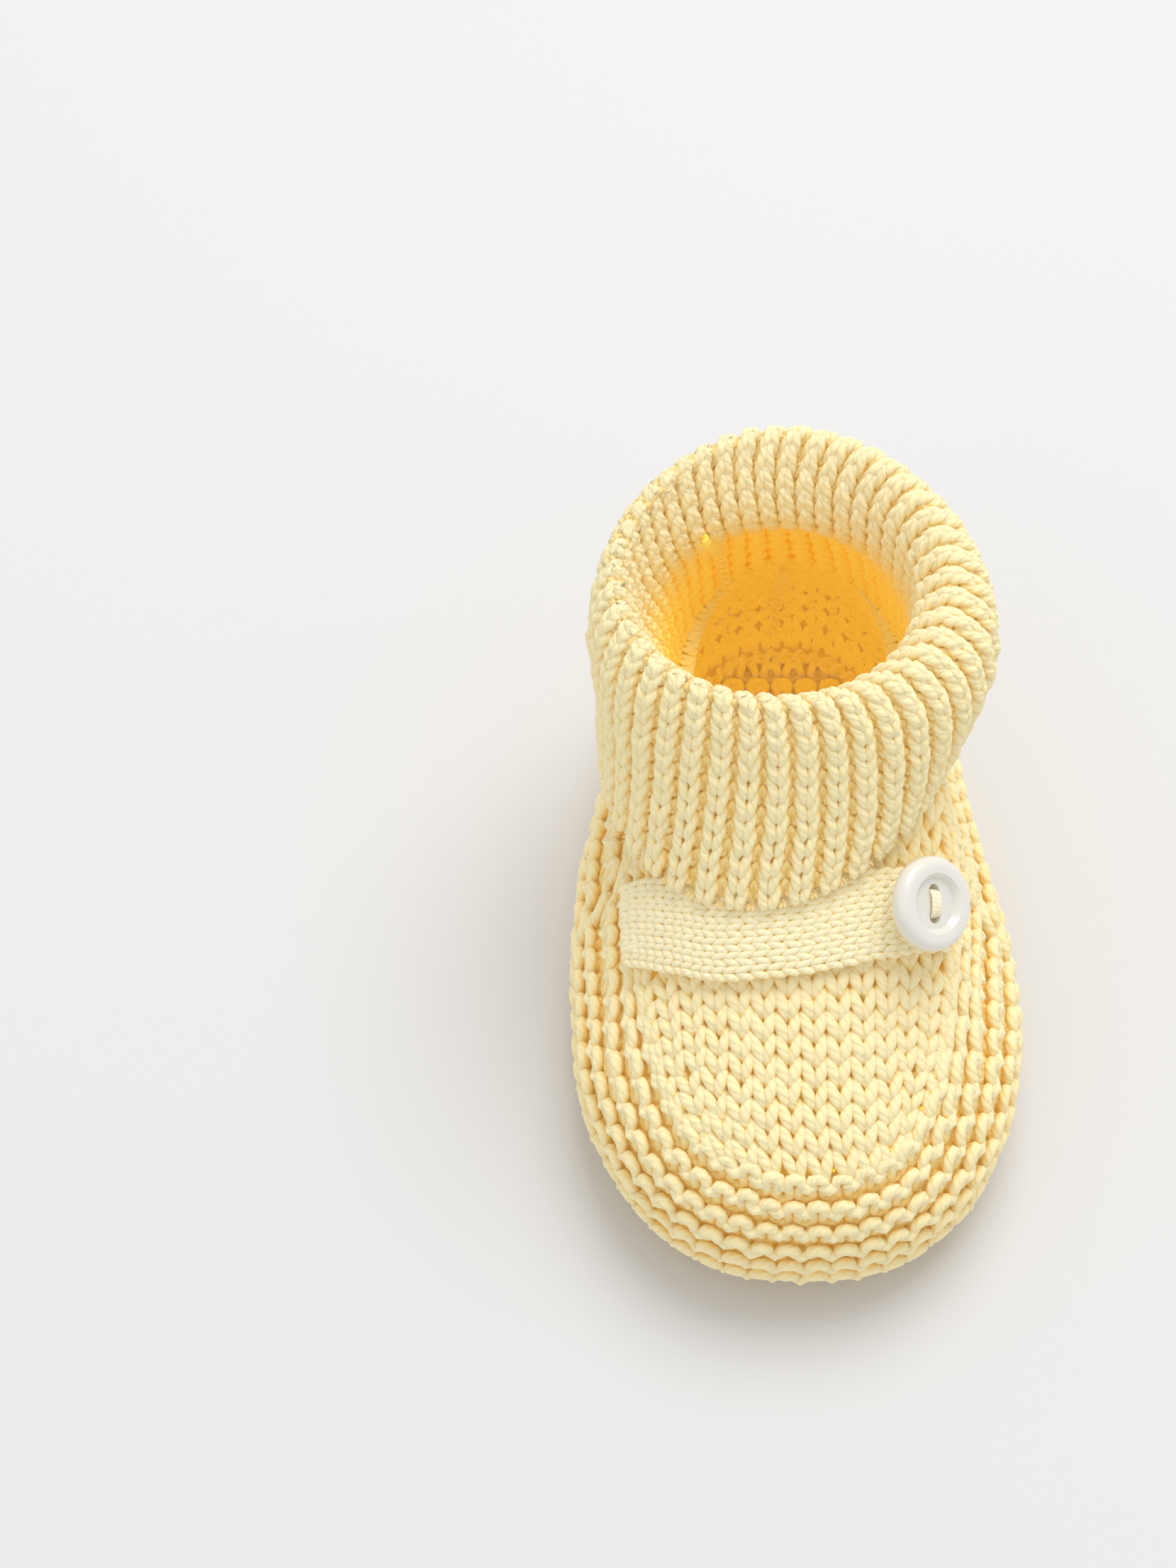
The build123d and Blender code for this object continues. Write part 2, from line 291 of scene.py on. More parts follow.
def course(place, wales, row, side_of, depth, height, bow, first=0, offset=None, belly=0.14, sink=0.0,
           wild=1.0):
    """One course of yarn through all its wales.

    side_of(wale, row) is +1 for a plain stitch and -1 for a purl one.
    depth is how far the yarn moves in front of and behind the fabric's middle.
    height is half a loop's height in courses, and bow is how much the loop bulges sideways.
    belly is how much fuller the legs of a stitch are than its bends, and sink how far they fall back.
    wild scales the unevenness.
    """
    n = POINTS_PER_STITCH
    t = (np.arange(n) / n * TURN - pi)[None]
    c = np.arange(first, first + wales)[:, None]
    x = c + 0.5 + (t + bow * np.sin(2 * t)) / TURN
    y = row + 0.5 + height * np.cos(t) + 0 * x
    own, after = side_of(c, row), side_of(c, row + 1)
    left, right = -(side_of(c - 1, row) + own) / 2, -(side_of(c + 1, row) + own) / 2
    foot = np.where(t < 0, left, right)
    inner = own + (-after - own) * (1 + np.cos(2 * t)) / 2
    outer = own + (foot - own) * (1 + np.cos(2 * t)) / 2
    z = depth * np.where(np.abs(t) < pi / 2, inner, outer)
    z = z - sink * (1 - np.cos(2 * t)) / 2
    girth = (1 - belly * np.cos(2 * t) + 0 * x).ravel()
    x, y, z = x.ravel(), y.ravel(), z.ravel()
    x = x + wander(wales, DRIFT_X * wild, n)
    y = y + wander(wales, DRIFT_Y * wild, n)
    z = z + (offset(x, y) if offset is not None else 0) + wander(wales, DRIFT_Z * wild, n)
    girth = girth + wander(wales, DRIFT_GIRTH * wild, n)
    points, normals = on_fabric(place, x, y, z)
    return points, normals, z, girth


def sheet(place, x0, x1, y0, y1, columns, rows, level):
    """Matted fibres behind the stitches, as a grid of points."""
    x, y = np.meshgrid(np.linspace(x0, x1, columns), np.linspace(y0, y1, rows), indexing="ij")
    z = level(x, y) if callable(level) else np.full(x.shape, level)
    return on_fabric(place, x, y, z)[0]


def plain(wale, row):
    return np.ones(np.broadcast(wale, row).shape)


def garter(wale, row):
    return np.where((np.asarray(row) + 0 * wale) % 2 == 0, 1.0, -1.0)


def rib(wale, row):
    return np.where((wale + 0 * np.asarray(row)) % 2 == 0, 1.0, -1.0)


# ---------------------------------------------------------------- the panels' surfaces
YARN_RADIUS = 0.66
YARN_DEPTH = 0.62
SKIN = YARN_RADIUS + YARN_DEPTH         # from the outside of a panel to its fabric's middle


def read_grid(grid, x, y, wrap):
    """Bilinear reading of a grid of points at fractional indices."""
    rows, cols = grid.shape[:2]
    x = np.asarray(x, float)
    y = np.clip(y, 0, cols - 1.001)
    i, j = np.floor(x).astype(int), np.floor(y).astype(int)
    fx, fy = (x - i)[..., None], (y - j)[..., None]
    i0, i1 = (i % rows, (i + 1) % rows) if wrap else (np.clip(i, 0, rows - 1), np.clip(i + 1, 0, rows - 1))
    return (
        grid[i0, j] * (1 - fx) * (1 - fy) + grid[i1, j] * fx * (1 - fy)
        + grid[i0, j + 1] * (1 - fx) * fy + grid[i1, j + 1] * fx * fy
    )


def vamp_sides(y):
    return np.interp(y, VAMP_Y, VAMP_INNER), np.interp(y, VAMP_Y, VAMP_OUTER)


WALL_WALES = 74
WALL_ROWS = 16
WALL_OVERLAP = 0.8          # how far its upper edge reaches over the top panel
WALL_TOP_RANGE = (18, 41)   # the heights between which its upper edge lies
NARROW, WIDE = 5, 16        # samples to each side over which that edge is smoothed, and the same at the toe


def rolling_mean(values, reach_each_way):
    return np.mean([np.roll(values, k) for k in range(-reach_each_way, reach_each_way + 1)], axis=0)


def wall_top(turn):
    """Height of the wall's upper edge at each angle round the foot."""
    heights = np.linspace(*WALL_TOP_RANGE, 231)
    point = foot_point(turn[:, None] + 0 * heights, heights[None] + 0 * turn[:, None])
    x, y = point[..., 0], point[..., 1]
    inner, outer = vamp_sides(y)
    in_vamp = (y > VAMP_Y[0]) & (y < VAMP_Y[-1] + 1.5) & (x > inner) & (x < outer)
    over_ankle = heights > ANKLE_Z + ANKLE_SLOPE * (y - ANKLE_Y)
    by_ankle = heights[np.argmax(over_ankle, 1)]
    by_vamp = heights[np.argmax(in_vamp, 1)] + WALL_OVERLAP
    top = np.where(in_vamp.any(1), np.minimum(by_vamp, by_ankle), by_ankle)
    at_toe = np.clip((np.cos(turn) - 0.6) / 0.2, 0, 1)
    return rolling_mean(top, WIDE) * at_toe + rolling_mean(top, NARROW) * (1 - at_toe)


WALL_STEP = 8               # grid points in each wale
ROW_STEP = 4                # grid points in each course, of the wall and of the leg
FINE_TURN = np.linspace(0, TURN, 2881)


def wall_grid():
    """Points of the wall's outside, evenly spaced round the foot and up each line."""
    count = WALL_WALES * WALL_STEP
    round_foot = walked(foot_point(FINE_TURN, np.full(FINE_TURN.shape, WIDEST_HEIGHT)))
    turn = np.interp(np.arange(count) / count * round_foot[-1], round_foot, FINE_TURN)
    height = np.linspace(0, 1, 121)[None] * wall_top(turn)[:, None]
    lines = foot_point(turn[:, None] + 0 * height, height)
    grid = np.empty((count, WALL_ROWS * ROW_STEP + 1, 3))
    for k, line in enumerate(lines):
        up_line = walked(line)
        even = np.linspace(0, up_line[-1], WALL_ROWS * ROW_STEP + 1)
        for axis in range(3):
            grid[k, :, axis] = np.interp(even, up_line, line[:, axis])
    return grid


WALL_GRID = wall_grid()


def place_wall(x, y):
    return read_grid(WALL_GRID, x * WALL_STEP, y * ROW_STEP, True)


RIBS = 42
LEG_STEP = 4                # grid points in each wale
LEG_WALES = 2 * RIBS
LEG_ROWS = 26
KNIT_SHARE = 0.68           # of a rib's width
RIB_RELIEF = 0.56
LEG_YARN_RADIUS = 0.57


def ring_points(ring, turn, grow=0.0):
    cx, cy, cz, rx, ry, slope_y, slope_x, egg, skew = ring
    x = (rx + grow) * np.sin(turn) * (1 + egg * np.cos(turn))
    y = -(ry + grow) * np.cos(turn) + skew * x
    return np.stack([cx + x, cy + y, cz + slope_y * y + slope_x * x], -1)


def even_ring(ring, count):
    """Points round a ring, evenly spaced along it, from the toe side."""
    turn = np.linspace(0, TURN, 1441)
    at = walked(ring_points(ring, turn))
    return ring_points(ring, np.interp(np.arange(count) / count * at[-1], at, turn))


def leg_grid():
    """Points of the leg from the cuff's free edge to the ankle: one row for each place round the leg."""
    rings = np.stack([even_ring(ring, LEG_WALES * LEG_STEP) for ring in LEG_RINGS])
    gaps = np.linalg.norm(np.diff(rings, axis=0), axis=2).mean(1)
    ring_at = np.concatenate([[0], np.cumsum(gaps)])
    levels = np.linspace(0, ring_at[-1], LEG_ROWS * ROW_STEP + 1)
    return smooth(ring_at, rings.reshape(len(rings), -1), levels).reshape(len(levels), -1, 3).swapaxes(0, 1)


LEG_GRID = leg_grid()


def place_leg(x, y):
    """Plain wales are wide and the purl wales between them narrow."""
    pair = np.floor(x / 2)
    within = x / 2 - pair
    plain_wale = within * 2 * KNIT_SHARE
    purl_wale = KNIT_SHARE + (within - 0.5) * 2 * (1 - KNIT_SHARE)
    squeezed = np.where(within < 0.5, plain_wale, purl_wale)
    return read_grid(LEG_GRID, (pair + squeezed) * 2 * LEG_STEP, y * ROW_STEP, True)


VAMP_PITCH = 3.05
VAMP_LEAST_PITCH = 2.85     # width of a wale that decides how many a narrowed course keeps
VAMP_MOST_HALF = 6.5        # wales on each side of the middle, where the panel is widest
VAMP_ROWS = 16
VAMP_START = -4.0
VAMP_END = -43.6
VAMP_LAST_FULL = -40.4      # from here to the toe edge the panel keeps its width

# How far the panel's back corners reach past its start, by distance from the middle.
VAMP_BACK_X = np.array([0.0, 10.0, 14.0, 17.0, 20.0])
VAMP_BACK = np.array([0.0, 0.5, 4.5, 9.0, 11.0])
VAMP_MIDDLE = -0.5          # along X
VAMP_BACK_ROWS = 7.5        # the courses over which that reach fades out

# The toe edge of the panel, seen from above.
VAMP_TOE_X = np.array([-12.4, -9.2, -5.5, 1.5, 7.5, 10.4, 12.8])
VAMP_TOE_Y = np.array([-40.2, -41.8, -43.0, -43.6, -43.0, -41.8, -40.2])


def vamp_edges(y):
    """Both ends of the top panel's courses, which bend round the toe."""
    straight = VAMP_START + (VAMP_END - VAMP_START) * y / VAMP_ROWS
    inner, outer = vamp_sides(np.maximum(straight, VAMP_LAST_FULL))
    for _ in range(4):
        bent = [VAMP_START + (np.interp(side, VAMP_TOE_X, VAMP_TOE_Y) - VAMP_START) * y / VAMP_ROWS
                for side in (inner, outer)]
        inner = vamp_sides(np.maximum(bent[0], VAMP_LAST_FULL))[0]
        outer = vamp_sides(np.maximum(bent[1], VAMP_LAST_FULL))[1]
    return inner, outer


def vamp_panel(half_wales):
    """A top panel with that many wales on each side of its middle; its courses run from ankle to toe."""
    def place(x, y):
        inner, outer = vamp_edges(y)
        middle, half = (inner + outer) / 2, (outer - inner) / 2
        share = x / half_wales
        spare = half - VAMP_PITCH * half_wales
        across = middle - VAMP_PITCH * x - spare * np.abs(share) ** 2 * share
        toe = np.interp(across, VAMP_TOE_X, VAMP_TOE_Y)
        back = np.interp(np.abs(across - VAMP_MIDDLE), VAMP_BACK_X, VAMP_BACK)
        back = back * np.clip(1 - y / VAMP_BACK_ROWS, 0, 2) ** 1.2
        ahead = VAMP_START + (toe - VAMP_START) * y / VAMP_ROWS + back
        return np.stack([across, ahead, foot_height(across, ahead)], -1)
    return place


SOLE_PITCH = 3.2
SOLE_ROWS = 48
SOLE_MIDDLE = 1.25


def sole_ahead(y):
    """Where a course of the sole lies between the toe and the heel."""
    toe, heel = FOOT_LEVELS[0, 1:3]
    return toe + (heel - toe) * y / SOLE_ROWS


def sole_sides(ahead):
    turn = FINE_TURN[:-1]
    edge = foot_point(turn, np.zeros(turn.shape))
    left = edge[turn > pi][::-1]
    right = edge[turn < pi]
    return np.interp(ahead, left[:, 1], left[:, 0]), np.interp(ahead, right[:, 1], right[:, 0])


def place_sole(x, y):
    ahead = sole_ahead(y)
    return np.stack([x * SOLE_PITCH + 0 * ahead, ahead + 0 * x, SOLE_MIDDLE + 0 * x + 0 * ahead], -1)


# The strap's two edges seen from above, from its sewn end to the button.
STRAP_LOWER = np.array([
    (-20.9, -16.8), (-16, -19.6), (-9.9, -21.9), (-0.8, -21.7), (8.4, -19.8), (16.6, -17.2)])
STRAP_UPPER = np.array([(-20.9, -6.6), (-15.5, -9.4), (-9, -11.4), (0, -11.4), (9, -9.9), (18.0, -8.4)])
STRAP_WALES = 7
STRAP_ROWS = 27
STRAP_RADIUS = 0.43
STRAP_DEPTH = 0.36
STRAP_SKIN = 1.95           # level of its outside above the top panel


def place_strap(x, y):
    along = y / STRAP_ROWS * (len(STRAP_LOWER) - 1)
    knots = np.arange(len(STRAP_LOWER))
    lower, upper = smooth(knots, STRAP_LOWER, along), smooth(knots, STRAP_UPPER, along)
    share = (x / STRAP_WALES)[..., None]
    plan = upper * (1 - share) + lower * share
    height = foot_height(plan[..., 0], plan[..., 1])
    return np.concatenate([plan, height[..., None]], -1)


# ---------------------------------------------------------------- knitted pieces
def garter_relief(x, y):
    """Ridges stand proud and the valleys between them sink."""
    return -SKIN + 0.3 * np.cos(pi * (y - 1.0))


def wall_inner(verts, depth):
    """The painted bounce light on the wall's inside fades to the outside colour at its upper edge, where it
    shows.
    """
    below_edge = ANKLE_Z + ANKLE_SLOPE * (verts[:, 1] - ANKLE_Y) - verts[:, 2]
    return facing_in(verts, depth) * (0.6 + 0.4 * np.clip((below_edge - 0.3) / 1.5, 0, 1))


WALL_SHEET_LEVEL = -1.75


def wall_rows(name, first, last):
    strands = [
        course(place_wall, WALL_WALES, row, garter, YARN_DEPTH, height=0.88, bow=1.12, offset=garter_relief,
               belly=-0.05, sink=0.5, wild=1.3)
        for row in range(first, last)]
    back = sheet(place_wall, 0, WALL_WALES, first, last, WALL_WALES * 2 + 1, (last - first) * 3 + 1,
                 WALL_SHEET_LEVEL)
    return tube_mesh(name, strands, YARN_RADIUS + 0.06, True, inner=wall_inner, sheets=[(back[:-1], True)])


def leg_relief(x, y):
    """The plain wales stand out as ribs."""
    return -1.25 + RIB_RELIEF * np.cos(pi * (x - 0.5))


MOUTH_X, MOUTH_Y, MOUTH_RADIUS = -3.0, 18.3, 18.6
MOUTH_SQUASH = 1.05
BOUNCE_LIGHT_FROM = 58.0            # the height below which painted bounce light starts to turn the inside of the leg golden
BOUNCE_LIGHT_FADE = 17.0


def leg_inner(verts, depth):
    """How much painted bounce light turns the leg golden: 0 at the fold, 1 near the ankle, and 0 on its
    outer face.
    """
    down_inside = np.clip((BOUNCE_LIGHT_FROM - verts[:, 2]) / BOUNCE_LIGHT_FADE, 0, 1)
    return down_inside * np.clip((1.8 - depth) / 0.5, 0, 1)


def fold_inner(verts, depth):
    """The same at the fold, with 0 outside the mouth."""
    from_middle = np.hypot(verts[:, 0] - MOUTH_X, (verts[:, 1] - MOUTH_Y) * MOUTH_SQUASH)
    return np.where(from_middle < MOUTH_RADIUS, leg_inner(verts, depth), 0)


def leg_rows(name, first, last, inner):
    strands = [
        course(place_leg, LEG_WALES, row, rib, YARN_DEPTH * 0.7, height=0.86, bow=1.35 + 0.03 * row,
               offset=leg_relief)
        for row in range(first, last)]
    back = sheet(place_leg, 0, LEG_WALES, max(first, 1.3), last, LEG_WALES * 3 + 1, (last - first) * 2 + 1,
                 lambda x, y: leg_relief(x, y) - 0.45)
    return tube_mesh(name, strands, LEG_YARN_RADIUS, True, inner=inner, sheets=[(back[:-1], True)])


VAMP_SHEET_LEVEL = -2.0


def vamp_rows(name):
    strands = []
    for row in range(VAMP_ROWS):
        inner, outer = vamp_edges(row + 0.5)
        half = min(VAMP_MOST_HALF, np.round((outer - inner) / 2 / VAMP_LEAST_PITCH - 0.5) + 0.5)
        strands.append(course(
            vamp_panel(half), int(2 * half), row, plain, YARN_DEPTH, height=0.84, bow=1.62, first=-half,
            offset=lambda x, y: -SKIN + 0 * x))
    back = sheet(vamp_panel(5.0), -5.2, 5.2, 0, VAMP_ROWS - 0.1, 45, 41, VAMP_SHEET_LEVEL)
    return tube_mesh(name, strands, YARN_RADIUS + 0.03, sheets=[(back, False)])


def sole_rows(name):
    strands = []
    for row in range(SOLE_ROWS):
        inner, outer = sole_sides(sole_ahead(row + 0.5))
        count = max(2, int(round((outer - inner) / SOLE_PITCH)))
        first = (inner + outer) / 2 / SOLE_PITCH - count / 2
        strands.append(course(
            place_sole, count, row, garter, YARN_DEPTH * 0.7, height=0.8, bow=1.2, first=first,
            belly=-0.06))
    turn = np.linspace(0, TURN, 97)[:-1, None]
    share = np.linspace(0, 0.97, 12)[None]
    edge = foot_point(turn, np.zeros(turn.shape))
    back = edge * share[..., None] + np.array([0, 0, SOLE_MIDDLE])
    return tube_mesh(name, strands, YARN_RADIUS - 0.04, skin=SOLE_MIDDLE, outward=-1,
                     sheets=[(back, True)])


def strap_relief(x, y):
    """The strap lies on the top panel, with both edges a little lower."""
    return 1.2 - 0.35 * (2 * x / STRAP_WALES - 1) ** 4


def strap_rows(name):
    strands = [
        course(place_strap, STRAP_WALES, row, plain, STRAP_DEPTH, height=0.84, bow=1.6, offset=strap_relief,
               wild=0.7)
        for row in range(STRAP_ROWS)]
    back = sheet(place_strap, 0.1, STRAP_WALES - 0.1, 0, STRAP_ROWS, 22, 60,
                 lambda x, y: strap_relief(x, y) - 0.1)
    return tube_mesh(name, strands, STRAP_RADIUS, skin=STRAP_SKIN, inner=facing_out, sheets=[(back, False)])


def follow(path, count, closed=False):
    """Evenly spaced points on a smooth line, with the line's direction and the distance walked."""
    path = np.asarray(path, float)
    if closed:
        path = np.concatenate([path, path[:1]])
    knots = walked(path)
    at = np.linspace(0, knots[-1], count)
    line = smooth(knots, path, at)
    tangent = np.gradient(line, axis=0)
    return line, tangent / np.linalg.norm(tangent, axis=1)[:, None], at


SEAM_SIDES = 6
# the seams take most of the painted bounce light colour
SEAM_BOUNCE_LIGHT = 0.8


def in_seam(verts, depth):
    return np.full(len(verts), SEAM_BOUNCE_LIGHT)


def overcast(name, path, radius, reach_out, pitch, closed=False):
    """Seam stitches: yarn wound round a smooth line."""
    length = walked(np.asarray(path, float))[-1]
    line, tangent, at = follow(path, max(24, int(length / pitch * POINTS_PER_STITCH)), closed)
    guess = np.where(np.abs(tangent[:, 2:]) < 0.8, np.array([[0, 0, 1.0]]), np.array([[1.0, 0, 0]]))
    side = np.cross(tangent, guess)
    side /= np.linalg.norm(side, axis=1)[:, None]
    up = np.cross(side, tangent)
    turns = at / pitch * TURN
    out = np.cos(turns)[:, None] * side + np.sin(turns)[:, None] * up
    size = reach_out * (1 + RANDOM.normal(0, 0.05, len(at)))[:, None]
    count = len(at)
    core = (line, up, np.full(count, -0.8), np.full(count, 0.8))
    wound = (line + size * out, out, np.full(count, -0.6), np.ones(count))
    return tube_mesh(name, [wound, core], radius, inner=in_seam, sides=SEAM_SIDES)


# ---------------------------------------------------------------- materials
FIBRE_SCALE = 2400.0
PATCH_SCALE = 320.0
BUMP_DISTANCE = 0.00025
# painted glow: emission strength of the yarn outside and inside the shoe
PAINTED_GLOW_OUTSIDE, PAINTED_GLOW_INSIDE = 0.07, 0.21
# yarn colours: PALE is the lit yarn, and the cream and gold are painted shade down between the stitches
PALE = (0.955, 0.820, 0.480)
CREAM_HALF_SHADE = (0.945, 0.735, 0.340)
GOLD_RECESS_SHADE = (0.925, 0.640, 0.160)
# painted bounce light: the golden colours of the yarn inside the shoe
INSIDE_BOUNCE_LIGHT = (0.955, 0.700, 0.120)
INSIDE_DEEP_BOUNCE_LIGHT = (0.930, 0.560, 0.020)
# the strap's paler yarn, and its painted half shade
STRAP_PALE = (0.975, 0.865, 0.560)
STRAP_CREAM_HALF_SHADE = (0.965, 0.800, 0.430)
THREAD = (0.950, 0.870, 0.620)
PEARL = (0.80, 0.775, 0.715)
FLOOR_GREY = (0.73, 0.73, 0.735)


def principled(name, base=None, roughness=0.85):
    material = bpy.data.materials.new(name)
    material.use_nodes = True
    shader = material.node_tree.nodes["Principled BSDF"]
    if base is not None:
        shader.inputs["Base Color"].default_value = (*base, 1)
    shader.inputs["Roughness"].default_value = roughness
    return material, shader


def mapped(nodes, links, source, low, high, to_low=0.0, to_high=1.0):
    node = nodes.new("ShaderNodeMapRange")
    node.interpolation_type = "SMOOTHSTEP"
    node.inputs["From Min"].default_value = low
    node.inputs["From Max"].default_value = high
    node.inputs["To Min"].default_value = to_low
    node.inputs["To Max"].default_value = to_high
    links.new(source, node.inputs["Value"])
    return node.outputs["Result"]


def tint(nodes, links, share, first, second):
    """Mix two colours; either may be a socket or a plain colour."""
    node = nodes.new("ShaderNodeMix")
    node.data_type = "RGBA"
    links.new(share, node.inputs["Factor"])
    for socket, colour in ((node.inputs["A"], first), (node.inputs["B"], second)):
        if isinstance(colour, tuple):
            socket.default_value = (*colour, 1)
        else:
            links.new(colour, socket)
    return node.outputs["Result"]


def arithmetic(nodes, links, operation, first, second, third=None):
    node = nodes.new("ShaderNodeMath")
    node.operation = operation
    for k, value in enumerate((first, second, third)):
        if value is None:
            continue
        if isinstance(value, float):
            node.inputs[k].default_value = value
        else:
            links.new(value, node.inputs[k])
    return node.outputs[0]


def noise(nodes, links, coords, scale, detail):
    node = nodes.new("ShaderNodeTexNoise")
    node.inputs["Scale"].default_value = scale
    node.inputs["Detail"].default_value = detail
    links.new(coords, node.inputs["Vector"])
    return node.outputs["Fac"]


def point_mark(nodes, name):
    node = nodes.new("ShaderNodeAttribute")
    node.attribute_name = name
    return node.outputs["Fac"]


def plied_twist(nodes, links, coords, plies, pitch, strength):
    """Grooves that wind round the yarn: the painted shade in them and the normal that they bend."""
    uv = nodes.new("ShaderNodeUVMap")
    uv.uv_map = "yarn"
    split = nodes.new("ShaderNodeSeparateXYZ")
    links.new(uv.outputs["UV"], split.inputs["Vector"])
    along = arithmetic(nodes, links, "MULTIPLY", split.outputs["X"], plies / pitch)
    turn = arithmetic(nodes, links, "MULTIPLY_ADD", split.outputs["Y"], plies, along)
    ply = arithmetic(nodes, links, "PINGPONG", turn, 0.5)
    groove = mapped(nodes, links, ply, 0.0, 0.22, 1.0, 0.0)
    crown = mapped(nodes, links, ply, 0.0, 0.4)
    fibre = noise(nodes, links, coords, FIBRE_SCALE, 2.0)
    bump = nodes.new("ShaderNodeBump")
    bump.inputs["Strength"].default_value = strength
    bump.inputs["Distance"].default_value = BUMP_DISTANCE
    links.new(arithmetic(nodes, links, "MULTIPLY_ADD", fibre, 0.4, crown), bump.inputs["Height"])
    return groove, bump.outputs["Normal"]


def yarn_colour(nodes, links, coords, groove, inner, light, middle, deep):
    """Pale on top, with painted shade turning it cream and then golden down between the stitches and in the
    ply grooves, and painted bounce light deep inside.
    """
    uneven = mapped(nodes, links, noise(nodes, links, coords, PATCH_SCALE, 3.0), 0.3, 0.7, -0.12, 0.12)
    # painted shade: the deeper a point lies below the panel's outside, the more it turns cream and then
    # gold
    below = arithmetic(nodes, links, "ADD", point_mark(nodes, "depth"), uneven)
    # painted shade in the ply grooves
    below = arithmetic(nodes, links, "MULTIPLY_ADD", groove, 0.32, below)
    colour = tint(nodes, links, mapped(nodes, links, below, 0.25, 1.0), light, middle)
    colour = tint(nodes, links, mapped(nodes, links, below, 0.85, 1.8), colour, deep)
    # painted bounce light inside the shoe, deeper gold further down
    within = tint(nodes, links, mapped(nodes, links, below, 0.3, 1.4), INSIDE_BOUNCE_LIGHT, INSIDE_DEEP_BOUNCE_LIGHT)
    return tint(nodes, links, mapped(nodes, links, inner, 0.0, 1.0), colour, within)


def yarn_material(name, light, middle, deep, plies=3.0, pitch=3.4, strength=0.45):
    """Plied yarn; pitch is the length of one turn of its plies, in millimetres."""
    material, shader = principled(name)
    nodes, links = material.node_tree.nodes, material.node_tree.links
    shader.inputs["Specular IOR Level"].default_value = 0.15
    shader.inputs["Sheen Weight"].default_value = 0.06
    shader.inputs["Sheen Roughness"].default_value = 0.5
    shader.inputs["Sheen Tint"].default_value = (1.0, 0.95, 0.8, 1)
    shader.inputs["Subsurface Weight"].default_value = 0.2
    shader.inputs["Subsurface Radius"].default_value = (1.0, 0.8, 0.5)
    shader.inputs["Subsurface Scale"].default_value = 0.0012
    coords = nodes.new("ShaderNodeTexCoord").outputs["Object"]
    groove, normal = plied_twist(nodes, links, coords, plies, pitch, strength)
    links.new(normal, shader.inputs["Normal"])
    inner = point_mark(nodes, "inner")
    colour = yarn_colour(nodes, links, coords, groove, inner, light, middle, deep)
    links.new(colour, shader.inputs["Base Color"])
    # painted glow: emission standing in for light that comes through the thin yarn, stronger inside the
    # shoe as painted bounce light
    links.new(colour, shader.inputs["Emission Color"])
    painted_glow = mapped(nodes, links, inner, 0.0, 1.0, PAINTED_GLOW_OUTSIDE, PAINTED_GLOW_INSIDE)
    links.new(painted_glow, shader.inputs["Emission Strength"])
    return material


main_yarn = yarn_material("main yarn", PALE, CREAM_HALF_SHADE, GOLD_RECESS_SHADE)
seam_yarn = yarn_material("seam yarn", PALE, CREAM_HALF_SHADE, GOLD_RECESS_SHADE, pitch=1.6)
strap_yarn = yarn_material("strap yarn", STRAP_PALE, STRAP_CREAM_HALF_SHADE, GOLD_RECESS_SHADE, pitch=2.0, strength=0.35)
thread_yarn = yarn_material("button thread", THREAD, CREAM_HALF_SHADE, GOLD_RECESS_SHADE, plies=2.0, pitch=0.9, strength=0.3)

button_plastic, shader = principled("pearly plastic", PEARL, 0.22)
shader.inputs["Coat Weight"].default_value = 0.5
shader.inputs["Coat Roughness"].default_value = 0.08
shader.inputs["Subsurface Weight"].default_value = 0.35
shader.inputs["Subsurface Radius"].default_value = (1.0, 0.9, 0.8)
shader.inputs["Subsurface Scale"].default_value = 0.002


def make(piece, material, body, slot, *nodes_replaced):
    piece.data.materials.append(material)
    if nodes_replaced:
        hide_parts(*nodes_replaced)
    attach(piece, body)
    return piece


make(wall_rows("wall_knit_lower", 0, 8), main_yarn, "root", "main_yarn", "side_wall")
make(wall_rows("wall_knit_upper", 8, WALL_ROWS), main_yarn, "root", "main_yarn", "side_wall")
make(vamp_rows("vamp_knit"), main_yarn, "root", "main_yarn", "vamp")
make(leg_rows("cuff_flap_knit", 0, 10, facing_out), main_yarn, "root", "main_yarn", "cuff")
make(leg_rows("cuff_fold_knit", 10, 16, fold_inner), main_yarn, "root", "main_yarn", "cuff")
make(leg_rows("leg_knit", 16, LEG_ROWS, leg_inner), main_yarn, "root", "main_yarn", "leg_tube")
make(sole_rows("sole_knit"), main_yarn, "root", "main_yarn", "sole_panel")
make(strap_rows("strap_knit"), strap_yarn, "root", "strap_yarn", "strap")

# ---------------------------------------------------------------- seams
HEEL_SEAM_PATH = [(-1, 45.4, 4.5), (-1, 46.3, 12), (-1, 43.6, 20), (-1, 40.7, 28)]
LEG_SEAM_TURN = pi + 0.6
SEAM_RADIUS = 0.36
SEAM_WOUND = 0.5
SHORT_STITCH, LONG_STITCH = 1.8, 1.9
SOLE_SEAM_HEIGHT = 3.5
SOLE_SEAM_WOUND = 0.55
SOLE_SEAM_SHARE = np.array([0.94, 0.965, 1])        # of the sole's outline
VAMP_SEAM_Y = np.array([-11.0, -19.0, -28.0, -35.5, -40.0, -41.6])
VAMP_SEAM_INSET = 3.0
VAMP_SEAM_DROP = 3.4


def sole_seam_path():
    edge = foot_point(np.linspace(0, TURN, 49)[:-1], np.zeros(48))
    return edge * SOLE_SEAM_SHARE + np.array([0, 0, SOLE_SEAM_HEIGHT])


